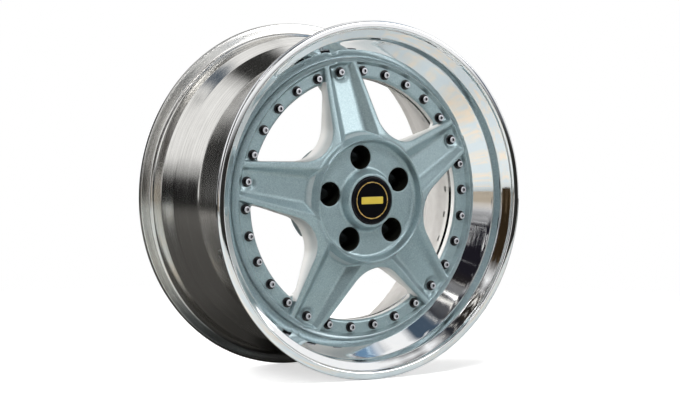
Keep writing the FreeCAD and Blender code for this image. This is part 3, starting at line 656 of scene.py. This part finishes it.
# gives a socket a number or a colour, or links an output to it
def setSocket(tree, socket, value):
    if isinstance(value, bpy.types.NodeSocket):
        tree.links.new(value, socket)
    else:
        socket.default_value = value


# a node with its sockets set by name, or by number as i0, i1
def addNode(tree, kind, operation=None, **values):
    node = tree.nodes.new("ShaderNode" + kind)
    if operation:
        node.operation = operation
    for name, value in values.items():
        key = int(name[1:]) if name[1:].isdigit() else name.replace("_", " ")
        setSocket(tree, node.inputs[key], value)
    return node


# a number worked out from others, as one output
def sums(tree, operation, first, second=0.0):
    return addNode(tree, "Math", operation, i0=first, i1=second).outputs[0]


def times(tree, first, second):
    return sums(tree, "MULTIPLY", first, second)


# two outputs added, each at its own share
def weighed(tree, first, firstShare, second, secondShare):
    return sums(tree, "ADD", times(tree, first, firstShare), times(tree, second, secondShare))


# two colours mixed; in a Mix node the colours are sockets 6 and 7
def blend(tree, share, first, second):
    node = addNode(tree, "Mix")
    node.data_type = "RGBA"
    setSocket(tree, node.inputs[0], share)
    for socket, colour in ((node.inputs[6], first), (node.inputs[7], second)):
        setSocket(tree, socket, (*colour, 1) if isinstance(colour, tuple) else colour)
    return node.outputs[2]


def spread(tree, value, low, high, fromLow=0.0, fromHigh=1.0):
    node = addNode(tree, "MapRange", Value=value, From_Min=fromLow, From_Max=fromHigh,
                   To_Min=low, To_Max=high)
    return node.outputs["Result"]


# from 0 to 1 as the value goes from low to high
def rising(tree, value, low, high):
    return spread(tree, value, 0.0, 1.0, low, high)


def falling(tree, value, low, high):
    return spread(tree, value, 1.0, 0.0, low, high)


def noise(tree, place, scale, detail=2.0, roughness=0.5):
    node = addNode(tree, "TexNoise", Vector=place, Scale=scale, Detail=detail, Roughness=roughness)
    return node.outputs[0]


# a node group with number inputs and one output, which the effect works out
def newGroup(name, workOut, **inputs):
    tree = bpy.data.node_groups.new(name, "ShaderNodeTree")
    for label, value in inputs.items():
        socket = tree.interface.new_socket(label, in_out="INPUT", socket_type="NodeSocketFloat")
        socket.default_value = value
    tree.interface.new_socket("Value", in_out="OUTPUT", socket_type="NodeSocketFloat")
    given = tree.nodes.new("NodeGroupInput").outputs
    tree.links.new(workOut(tree, given), tree.nodes.new("NodeGroupOutput").inputs["Value"])
    return tree


def objectPlace(tree):
    return tree.nodes.new("ShaderNodeTexCoord").outputs["Object"]


def faceNormal(tree):
    return tree.nodes.new("ShaderNodeNewGeometry").outputs["Normal"]


# the part of a place or direction that lies along the wheel's axis
def alongAxis(tree, vector):
    return addNode(tree, "SeparateXYZ", Vector=vector).outputs["Y"]


# the part that is square to the axis
def acrossAxis(tree, vector):
    parts = addNode(tree, "SeparateXYZ", Vector=vector).outputs
    return addNode(tree, "CombineXYZ", X=parts["X"], Z=parts["Z"]).outputs[0]


# radius and level of a place
def wheelPlace(tree, place):
    radius = addNode(tree, "VectorMath", "LENGTH", i0=acrossAxis(tree, place)).outputs["Value"]
    return radius, alongAxis(tree, place)


# cloudy grain: a coarse noise with a finer one over it
def cloudyGrain(tree, given):
    coarseDetail, finer, coarseShare, fineShare = 3.0, 7.3, 0.62, 0.38
    place = objectPlace(tree)
    coarse = noise(tree, place, given["Scale"], coarseDetail)
    fine = noise(tree, place, times(tree, given["Scale"], finer))
    return weighed(tree, coarse, coarseShare, fine, fineShare)


# lines round the axis: noise that changes with radius and level and only slowly along the turn
def turningLines(tree, given):
    slowScale, lineDetail, lineRoughness = 11.0, 4.0, 0.7
    darkest, brightest = 0.28, 0.72
    place = objectPlace(tree)
    radius, level = wheelPlace(tree, place)
    slow = times(tree, noise(tree, place, slowScale), given["Wander"])
    line = addNode(tree, "CombineXYZ", X=radius, Y=level, Z=slow).outputs[0]
    lines = noise(tree, line, given["Pitch"], lineDetail, lineRoughness)
    return rising(tree, lines, darkest, brightest)


# bright metal flakes in the paint: one random value for each small cell
def paintFlakes(tree, given):
    contrast = 2.0
    cells = addNode(tree, "TexVoronoi", Vector=objectPlace(tree), Scale=given["Scale"])
    grey = addNode(tree, "SeparateColor", Color=cells.outputs["Color"]).outputs[0]
    return sums(tree, "POWER", grey, contrast)


# the upright walls of the windows, most of all deep in them, where a pale colour is laid that is partly
# painted light
def windowWalls(tree, given):
    upright, slanted = 0.25, 0.6  # how far a face looks along the axis
    crest, deep, least = -0.094, -0.066, 0.6
    radius, level = wheelPlace(tree, objectPlace(tree))
    facing = alongAxis(tree, faceNormal(tree))
    walls = falling(tree, sums(tree, "ABSOLUTE", facing), upright, slanted)
    inside = times(tree, sums(tree, "GREATER_THAN", radius, given["Inner"]),
                   sums(tree, "LESS_THAN", radius, given["Outer"]))
    depth = sums(tree, "MAXIMUM", rising(tree, level, crest, deep), least)
    return times(tree, times(tree, walls, inside), depth)


# one where a face looks towards the axis, nothing where it looks away from it
def looksInward(tree, given):
    outward = acrossAxis(tree, objectPlace(tree))
    along = addNode(tree, "VectorMath", "DOT_PRODUCT", i0=faceNormal(tree), i1=outward).outputs["Value"]
    return falling(tree, along, times(tree, given["Soft"], -1.0), 0.0)


# small pale specks, thinly strewn
def paleSpecks(tree, given):
    core, rim = 0.12, 0.3  # the speck is whole inside the first and gone outside the second
    cells = addNode(tree, "TexVoronoi", Vector=objectPlace(tree), Scale=given["Scale"])
    chosen = addNode(tree, "SeparateColor", Color=cells.outputs["Color"]).outputs[1]
    chosen = sums(tree, "LESS_THAN", chosen, given["Share"])
    return times(tree, falling(tree, cells.outputs["Distance"], core, rim), chosen)


groups = {
    "grain": newGroup("cloudy_grain", cloudyGrain, Scale=40.0),
    "turning": newGroup("turning_lines", turningLines, Pitch=900.0, Wander=0.002),
    "flakes": newGroup("paint_flakes", paintFlakes, Scale=1500.0),
    "walls": newGroup("window_walls", windowWalls, Inner=0.086, Outer=0.1635),
    "inward": newGroup("looks_inward", looksInward, Soft=0.02),
    "specks": newGroup("specks", paleSpecks, Scale=260.0, Share=0.06),
}


def effect(tree, name, **values):
    node = tree.nodes.new("ShaderNodeGroup")
    node.node_tree = groups[name]
    for label, value in values.items():
        node.inputs[label].default_value = value
    return node.outputs["Value"]


def grain(tree, scale):
    return effect(tree, "grain", Scale=scale)


def newMaterial(name):
    material = bpy.data.materials.new(name)
    material.use_nodes = True
    return material, material.node_tree, material.node_tree.nodes["Principled BSDF"]


# fills a shader's sockets with numbers, colours or outputs
def fill(tree, shader, **values):
    for name, value in values.items():
        setSocket(tree, shader.inputs[name.replace("_", " ")], value)


def raised(tree, height, strength, distance):
    return addNode(tree, "Bump", Height=height, Strength=strength, Distance=distance).outputs[0]


def dress(piece, material):
    piece.data.materials.clear()
    piece.data.materials.append(material)


coatRough = 0.04  # of the clear coat on the paint and on moulded pieces
paintLook = {
    "colours": ((0.20, 0.275, 0.298), (0.40, 0.51, 0.54)),
    "flakeScale": 1700.0,
    "flakeShare": 0.7,
    "cloudScale": 9.0,
    "cloudShare": 0.35,
    "rough": (0.27, 0.36),
    "metal": (0.58, 0.08),  # on the front and on the window walls, as the coat
    "coat": (0.4, 0.1),
    # window walls' colour: partly their duller finish, partly painted light
    "wall": (0.83, 0.81, 0.785),  # colour of the window walls
    "wallCover": 0.9,
    "peelScale": 420.0,
    "peel": (0.04, 0.0004),  # strength and depth, as for the other bumps
}


def silverPaint(p):
    material, tree, shader = newMaterial("silver_paint")
    flakes, walls = effect(tree, "flakes", Scale=p["flakeScale"]), effect(tree, "walls")
    cloud, peel = grain(tree, p["cloudScale"]), grain(tree, p["peelScale"])
    tone = weighed(tree, flakes, p["flakeShare"], cloud, p["cloudShare"])
    paint = blend(tree, tone, *p["colours"])
    # pale wall colour laid over the paint by the walls mask: partly painted light
    colour = blend(tree, times(tree, walls, p["wallCover"]), paint, p["wall"])
    fill(tree, shader, Base_Color=colour, Metallic=spread(tree, walls, *p["metal"]),
         Roughness=spread(tree, cloud, *p["rough"]), Coat_Weight=spread(tree, walls, *p["coat"]),
         Coat_Roughness=coatRough, Normal=raised(tree, peel, *p["peel"]))
    return material


lipLook = {
    "colours": ((0.80, 0.82, 0.85), (0.93, 0.93, 0.92)),
    "pitch": 1400.0,
    "cloudScale": 14.0,
    "lineRough": (0.01, 0.035),
    "cloudRough": (0.0, 0.02),
    "bump": (0.02, 0.0002),
}


def polishedAlloy(p):
    material, tree, shader = newMaterial("polished_alloy")
    lines, cloud = effect(tree, "turning", Pitch=p["pitch"]), grain(tree, p["cloudScale"])
    rough = sums(tree, "ADD", spread(tree, lines, *p["lineRough"]), spread(tree, cloud, *p["cloudRough"]))
    fill(tree, shader, Base_Color=blend(tree, cloud, *p["colours"]), Metallic=1.0,
         Roughness=rough, Normal=raised(tree, lines, *p["bump"]))
    return material


barrelLook = {
    "bright": ((0.52, 0.51, 0.49), (0.95, 0.94, 0.91)),
    # colour inside: raw metal, made paler with painted light
    "dull": ((0.50, 0.47, 0.44), (0.86, 0.84, 0.81)),
    "speck": (0.78, 0.77, 0.75),
    "speckCover": 0.7,
    "pitch": 620.0,
    "wander": 0.006,
    "cloudScale": 16.0,
    "lineShare": 0.6,
    "cloudShare": 0.4,
    "rough": (0.12, 0.21),
    "dullRough": 0.35,  # added inside
    "metal": (1.0, 0.1),  # outside, inside
    "bump": (0.08, 0.0003),
}


# bright and turned outside, dull and pale inside; the paleness inside is partly the raw metal's own and
# partly painted light
def spunAlloy(p):
    material, tree, shader = newMaterial("spun_alloy")
    lines = effect(tree, "turning", Pitch=p["pitch"], Wander=p["wander"])
    cloud = grain(tree, p["cloudScale"])
    specks, inside = effect(tree, "specks"), effect(tree, "inward")
    tone = weighed(tree, lines, p["lineShare"], cloud, p["cloudShare"])
    bright = blend(tree, tone, *p["bright"])
    dull = blend(tree, cloud, *p["dull"])
    # the inside's pale colour is partly painted light
    colour = blend(tree, inside, bright, dull)
    colour = blend(tree, times(tree, specks, p["speckCover"]), colour, p["speck"])
    dulled = times(tree, inside, p["dullRough"])
    rough = sums(tree, "ADD", spread(tree, tone, *p["rough"]), dulled)
    fill(tree, shader, Base_Color=colour, Metallic=spread(tree, inside, *p["metal"]), Roughness=rough,
         Normal=raised(tree, lines, *p["bump"]))
    return material


boltLook = {
    "bright": ((0.42, 0.42, 0.46), (0.66, 0.66, 0.69)),
    # near-black colour of the head's sides: painted shade
    "side": (0.01, 0.01, 0.012),
    "top": (-0.86, -0.62),  # a face is top below the first and side above the second
    "cloudScale": 160.0,
    "rough": (0.32, 0.46),
    "bump": (0.05, 0.0001),
}


# bright top and near-black sides, by how far a face looks outboard; the black on the sides is painted shade
def boltFinish(p):
    material, tree, shader = newMaterial("bolt_chrome")
    cloud, lines = grain(tree, p["cloudScale"]), effect(tree, "turning")
    facing = alongAxis(tree, faceNormal(tree))
    bright = blend(tree, cloud, *p["bright"])
    # faces looking away from outboard get the near-black side colour, as painted shade
    fill(tree, shader, Base_Color=blend(tree, falling(tree, facing, *p["top"]), p["side"], bright),
         Metallic=1.0, Roughness=spread(tree, cloud, *p["rough"]), Normal=raised(tree, lines, *p["bump"]))
    return material


# small metal pieces: the nodes, dark and light colour, range of roughness
metalLooks = {
    "cap_gold": (["cap_gold_ring"], (0.55, 0.36, 0.10), (0.75, 0.53, 0.20), (0.2, 0.34)),
    "spring_steel": (["cap_spring_ring"], (0.4, 0.4, 0.4), (0.55, 0.55, 0.54), (0.3, 0.45)),
    "core_brass": (["valve_core"], (0.5, 0.34, 0.12), (0.68, 0.5, 0.22), (0.25, 0.4)),
    "nut_steel": (["assembly_nuts"], (0.42, 0.42, 0.41), (0.6, 0.6, 0.58), (0.3, 0.45)),
    "valve_metal": (["valve_stem", "valve_nut"], (0.45, 0.45, 0.44), (0.65, 0.65, 0.64), (0.2, 0.35)),
}


def smallMetal(name, dark, light, rough, pitch=1200.0, cloudScale=160.0, bump=(0.05, 0.0001)):
    material, tree, shader = newMaterial(name)
    lines, cloud = effect(tree, "turning", Pitch=pitch), grain(tree, cloudScale)
    fill(tree, shader, Base_Color=blend(tree, cloud, dark, light), Metallic=1.0,
         Roughness=spread(tree, cloud, *rough), Normal=raised(tree, lines, *bump))
    return material


# plastic, rubber and black coatings: the node, dark and light colour, range of roughness, coat, shine
mouldedLooks = {
    "sealant": ("rim_seal", (0.12, 0.12, 0.115), (0.2, 0.2, 0.19), (0.5, 0.7), 0.0, 0.5),
    "cap_black": ("centre_cap", (0.003, 0.003, 0.004), (0.008, 0.008, 0.01), (0.06, 0.12), 0.04, 0.18),
    "badge_black": ("cap_badge_disc", (0.002, 0.002, 0.003), (0.006, 0.006, 0.007), (0.1, 0.2), 0.0, 0.03),
    "valve_rubber": ("valve_grommet", (0.012, 0.012, 0.012), (0.03, 0.03, 0.03), (0.5, 0.7), 0.0, 0.5),
    "valve_cap_black": ("valve_cap", (0.012, 0.012, 0.013), (0.028, 0.028, 0.028), (0.35, 0.5), 0.0, 0.5),
    "washer_black": ("bolt_washers", (0.003, 0.003, 0.004), (0.01, 0.01, 0.012), (0.25, 0.4), 0.2, 0.5),
    "sleeve_black": ("nut_well_sleeves", (0.003, 0.004, 0.003), (0.012, 0.012, 0.01), (0.08, 0.16), 0.0, 0.5),
}
barLook = ((0.55, 0.40, 0.03), (0.68, 0.52, 0.06), (0.3, 0.45), 0.3, 0.5)
skinBump = (0.04, 0.0001)


def moulded(name, dark, light, rough, coat, shine, cloudScale=70.0, skinScale=900.0):
    material, tree, shader = newMaterial(name)
    cloud, skin = grain(tree, cloudScale), grain(tree, skinScale)
    fill(tree, shader, Base_Color=blend(tree, cloud, dark, light), Roughness=spread(tree, cloud, *rough),
         Coat_Weight=coat, Coat_Roughness=coatRough, Specular_IOR_Level=shine,
         Normal=raised(tree, skin, *skinBump))
    return material


dress(star, silverPaint(paintLook))
dress(lip, polishedAlloy(lipLook))
dress(barrel, spunAlloy(barrelLook))
dress(bar, moulded("bar_yellow", *barLook))
dress(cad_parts["assembly_bolts"], boltFinish(boltLook))
for name, (nodes, *look) in metalLooks.items():
    metal = smallMetal(name, *look)
    for node in nodes:
        dress(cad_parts[node], metal)
for name, (node, *look) in mouldedLooks.items():
    dress(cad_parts[node], moulded(name, *look))
print("finishes set")


# Floor, light and camera

studio = {
    "cameraPlace": (-1.622, -2.593, 0.160),
    "azimuth": -32.25,
    "elevation": 3.07,
    "focal": 2270.0,  # pixels, in a frame 680 wide
    "frameWidth": 680.0,
    "sensor": 36.0,
    "worldSeen": 1.0,
    "worldLight": 0.22,
    # soft panels: place, aim, width, height, power
    "panels": {
        "key_panel": ((-0.7, -1.7, 2.3), (0, 0, 0), 0.8, 0.8, 60),
        "side_panel": ((1.28, -1.92, 0.70), (0, 0, 0), 0.9, 0.6, 7),
        "rear_panel": ((-0.9, 1.5, 0.5), (0.1, 0, 0), 0.9, 0.9, 40),
    },
    # cards seen only in reflections: place, width, height, colour, colour of the streaks, aim
    "cards": {
        "back_dark": ((-0.1, 2.2, 0.3), 5.2, 3.8, (0.008, 0.008, 0.008), None, (0, 0, 0.1)),
        "roof_rear": ((0.1, 1.15, 1.75), 1.9, 1.9, (0.02, 0.02, 0.019)),
        "left_dark": ((-2.35, 0.35, -0.1), 3.8, 2.6, (0.004, 0.004, 0.004)),
        "left_high": ((-1.85, -1.43, 1.08), 2.9, 3.0, (0.012, 0.011, 0.016), (1.0, 1.0, 1.0)),
        "roof_front": ((-0.75, -2.1, 1.8), 3.2, 1.6, (0.022, 0.018, 0.015), (1.0, 0.96, 0.9)),
        "roof_middle": ((-0.75, -1.1, 2.0), 3.2, 1.5, (0.012, 0.014, 0.022), (1.0, 0.97, 0.9)),
        "roof_back": ((-0.4, -0.3, 2.0), 3.2, 1.0, (0.06, 0.09, 0.13), (1.0, 1.0, 1.0)),
        "roof_right": ((1.25, -0.25, 1.7), 1.3, 1.0, (0.15, 0.27, 0.42), (0.5, 0.66, 0.8)),
        "left_wall": ((-2.15, -1.65, -0.2), 2.0, 1.2, (0.50, 0.43, 0.34), (0.10, 0.11, 0.12)),
        "front_brown": ((-1.12, -1.95, 0.1), 1.6, 2.5, (0.030, 0.019, 0.010), (0.10, 0.07, 0.04)),
        "right_dark": ((2.0, 1.25, 0.1), 1.4, 0.9, (0.02, 0.024, 0.034)),
        "right_navy": ((1.9, -2.35, 0.35), 0.22, 1.8, (0.05, 0.07, 0.12)),
        "right_front": ((1.28, -2.03, -0.14), 1.7, 0.85, (0.025, 0.024, 0.022)),
        "right_line": ((2.3, 0.42, 0.1), 0.16, 1.3, (0.02, 0.024, 0.034)),
        "right_brown": ((2.35, -0.3, 0.1), 0.10, 1.3, (0.07, 0.045, 0.03)),
        "front_low": ((0.35, -2.3, -0.05), 1.0, 0.9, (0.09, 0.095, 0.095)),
        "roof_gap": ((0.72, -1.0, 1.75), 1.15, 0.95, (0.02, 0.021, 0.024)),
    },
}


def placed(item, place, aim):
    bpy.context.scene.collection.objects.link(item)
    facing = (Vector(aim) - Vector(place)).to_track_quat("-Z", "Y")
    item.matrix_world = Matrix.Translation(Vector(place)) @ facing.to_matrix().to_4x4()
    return item


def addCamera(s):
    data = bpy.data.cameras.new("camera")
    azimuth, elevation = np.radians(s["azimuth"]), np.radians(s["elevation"])
    flat = np.cos(elevation)
    back = np.array([np.sin(azimuth) * flat, -np.cos(azimuth) * flat, np.sin(elevation)])
    place = np.array(s["cameraPlace"])
    data.sensor_width = s["sensor"]
    data.lens = s["focal"] / s["frameWidth"] * s["sensor"]
    bpy.context.scene.camera = placed(bpy.data.objects.new("camera", data), place, place - back)


def addPanel(name, place, aim, width, height, power):
    data = bpy.data.lights.new(name, "AREA")
    data.shape, data.size, data.size_y, data.energy = "RECTANGLE", width, height, power
    panel = placed(bpy.data.objects.new(name, data), place, aim)
    panel.visible_glossy = place[1] < 0  # the one behind lights the barrel and isn't mirrored in it


def flatSheet(name, width, height):
    x, y = width / 2, height / 2
    mesh = bpy.data.meshes.new(name)
    mesh.from_pydata([(-x, -y, 0), (x, -y, 0), (x, y, 0), (-x, y, 0)], [], [(0, 1, 2, 3)])
    return bpy.data.objects.new(name, mesh)


cardLook = {
    "cloudScale": 1.5,
    "cloud": (0.7, 1.3),  # the colour times these
    "streakStretch": (6.0, 0.9, 1.0),
    "streakScale": 2.1,
    "streak": (0.60, 0.625),  # noise where a streak begins and is whole
    "edgeScale": 3.0,
    "edge": 0.22,  # how ragged and how soft, as a share of the shorter side
}


# cloudy colour, with streaks along the card where it has them
def cardColour(tree, c, colour, streak):
    dark, light = (tuple(share * part for part in colour) for share in c["cloud"])
    tone = blend(tree, grain(tree, c["cloudScale"]), dark, light)
    if streak is None:
        return tone
    stretched = addNode(tree, "VectorMath", "MULTIPLY", i0=objectPlace(tree), i1=c["streakStretch"])
    bands = noise(tree, stretched.outputs[0], c["streakScale"])
    return blend(tree, rising(tree, bands, *c["streak"]), tone, streak)


# whole in the middle, gone at the edge: distance to the nearest side, less a ragged noise
def cardAlpha(tree, c, width, height):
    place = objectPlace(tree)
    parts = addNode(tree, "SeparateXYZ", Vector=place).outputs
    nearX = sums(tree, "SUBTRACT", width / 2, sums(tree, "ABSOLUTE", parts["X"]))
    nearY = sums(tree, "SUBTRACT", height / 2, sums(tree, "ABSOLUTE", parts["Y"]))
    edge = c["edge"] * min(width, height)
    ragged = times(tree, noise(tree, place, c["edgeScale"]), edge)
    inside = sums(tree, "SUBTRACT", sums(tree, "MINIMUM", nearX, nearY), ragged)
    return rising(tree, inside, 0.0, edge)


def addCard(name, place, width, height, colour, streak=None, aim=(0, 0, 0)):
    card = placed(flatSheet(name, width, height), place, aim)
    material, tree, shader = newMaterial(name)
    fill(tree, shader, Base_Color=(0, 0, 0, 1), Roughness=1.0, Specular_IOR_Level=0.0, Emission_Strength=1.0,
         Emission_Color=cardColour(tree, cardLook, colour, streak),
         Alpha=cardAlpha(tree, cardLook, width, height))
    dress(card, material)
    card.visible_camera = card.visible_diffuse = card.visible_shadow = card.visible_transmission = False


# white where the camera or a reflection looks, softer as light on the wheel
def addWorld(s):
    world = bpy.data.worlds.new("studio")
    bpy.context.scene.world = world
    world.use_nodes = True
    tree = world.node_tree
    path = tree.nodes.new("ShaderNodeLightPath").outputs
    looks = sums(tree, "MAXIMUM", path["Is Camera Ray"], path["Is Glossy Ray"])
    looks = sums(tree, "MAXIMUM", looks, path["Is Transmission Ray"])
    background = tree.nodes["Background"].inputs
    background["Color"].default_value = (1, 1, 1, 1)
    tree.links.new(spread(tree, looks, s["worldLight"], s["worldSeen"]), background["Strength"])


floorLook = {
    "size": 8.0,
    "seen": ((0.80, 0.80, 0.80), (0.84, 0.84, 0.835)),  # by the camera
    "glow": 0.62,
    "front": ((0.93, 0.79, 0.62), (0.70, 0.77, 0.79)),  # mirrored before the wheel: cream and blue-grey
    "behind": (0.06, 0.058, 0.055),  # and behind it
    "cloudScale": 5.0,
    "patches": (0.38, 0.50),
    "turnsDark": (-0.13, -0.02),  # from front to back
    "fade": (0.45, 1.3),  # distance from the wheel
    "rough": 0.8,
    "shine": 0.1,
}


# for the camera it is pale near the wheel and fades out with distance, so it has no horizon
# for other rays it is whole: cream and blue-grey in front of the wheel and dark behind
def addFloor(f):
    floor = flatSheet("floor", f["size"], f["size"])
    bpy.context.scene.collection.objects.link(floor)
    floor.location = (0, 0, cadBox[0][2])
    material, tree, shader = newMaterial("floor_white")
    place = objectPlace(tree)
    away = addNode(tree, "VectorMath", "LENGTH", i0=place).outputs["Value"]
    backward = alongAxis(tree, place)
    cloud = grain(tree, f["cloudScale"])
    seen = tree.nodes.new("ShaderNodeLightPath").outputs["Is Camera Ray"]
    white = blend(tree, cloud, *f["seen"])
    patches = blend(tree, rising(tree, cloud, *f["patches"]), *f["front"])
    mirrored = blend(tree, rising(tree, backward, *f["turnsDark"]), patches, f["behind"])
    fade = falling(tree, away, *f["fade"])
    fill(tree, shader, Base_Color=blend(tree, seen, mirrored, white), Roughness=f["rough"],
         Specular_IOR_Level=f["shine"], Emission_Color=(1, 1, 1, 1),
         Emission_Strength=times(tree, seen, f["glow"]),
         Alpha=sums(tree, "MAXIMUM", fade, sums(tree, "SUBTRACT", 1.0, seen)))
    dress(floor, material)


addWorld(studio)
addFloor(floorLook)
for name, values in studio["panels"].items():
    addPanel(name, *values)
for name, values in studio["cards"].items():
    addCard(name, *values)
addCamera(studio)
bpy.context.scene.view_settings.view_transform = "Standard"
print("studio set")
